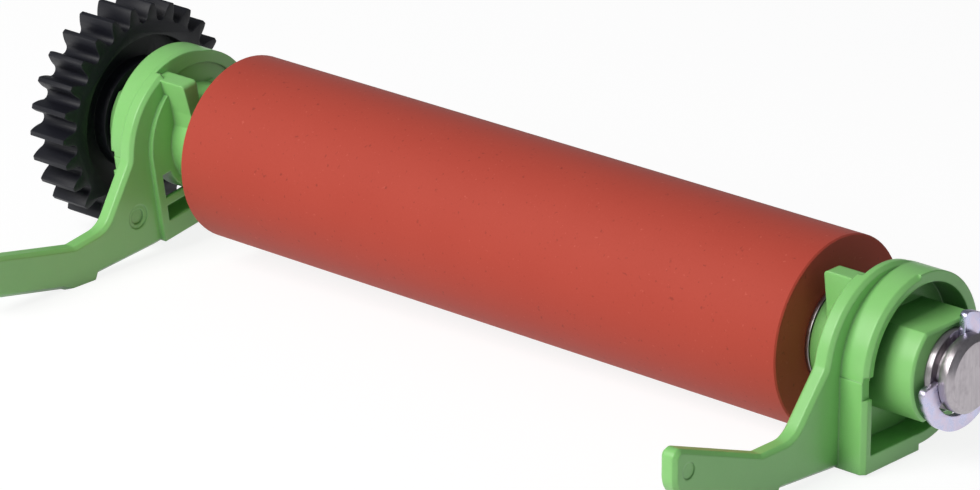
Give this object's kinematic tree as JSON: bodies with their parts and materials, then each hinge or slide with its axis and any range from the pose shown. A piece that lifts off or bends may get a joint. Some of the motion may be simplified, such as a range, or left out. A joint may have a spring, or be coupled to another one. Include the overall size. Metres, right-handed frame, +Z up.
{
  "type": "platen roller",
  "caption": "Rubber-covered platen roller on a steel shaft, with a drive gear at one end and a green moulded locking lever that turns on the shaft at each end.",
  "frame": {"origin": "on the shaft's axis, at the middle of the rubber", "axes": "+X along the shaft towards the end with no gear, -Y the way the lever arms point, +Z up"},
  "size_m": [0.1201, 0.046, 0.0255],
  "materials": {
    "rubber_red": "matte ground rubber",
    "steel_turned": "fine turned",
    "steel_washer": "plain",
    "steel_zinc": "bluish zinc plate",
    "plastic_black": "satin moulded",
    "plastic_green": "satin moulded"
  },
  "bodies": {
    "rotor": {"shaft": "steel_turned", "roller_sleeve": "rubber_red", "drive_gear": "plastic_black", "right_washer": "steel_washer", "left_washer": "steel_washer", "right_e_ring": "steel_zinc", "left_e_ring": "steel_zinc"},
    "left_lever": {"left_lever": "plastic_green"},
    "right_lever": {"right_lever": "plastic_green"}
  },
  "joints": [
    {"name": "left_lever_turn", "type": "hinge", "parent": "rotor", "child": "left_lever", "pos_m": [-0.0488, 0, 0], "axis": [1, 0, 0], "continuous": true},
    {"name": "right_lever_turn", "type": "hinge", "parent": "rotor", "child": "right_lever", "pos_m": [0.0475, 0, 0], "axis": [1, 0, 0], "continuous": true}
  ]
}
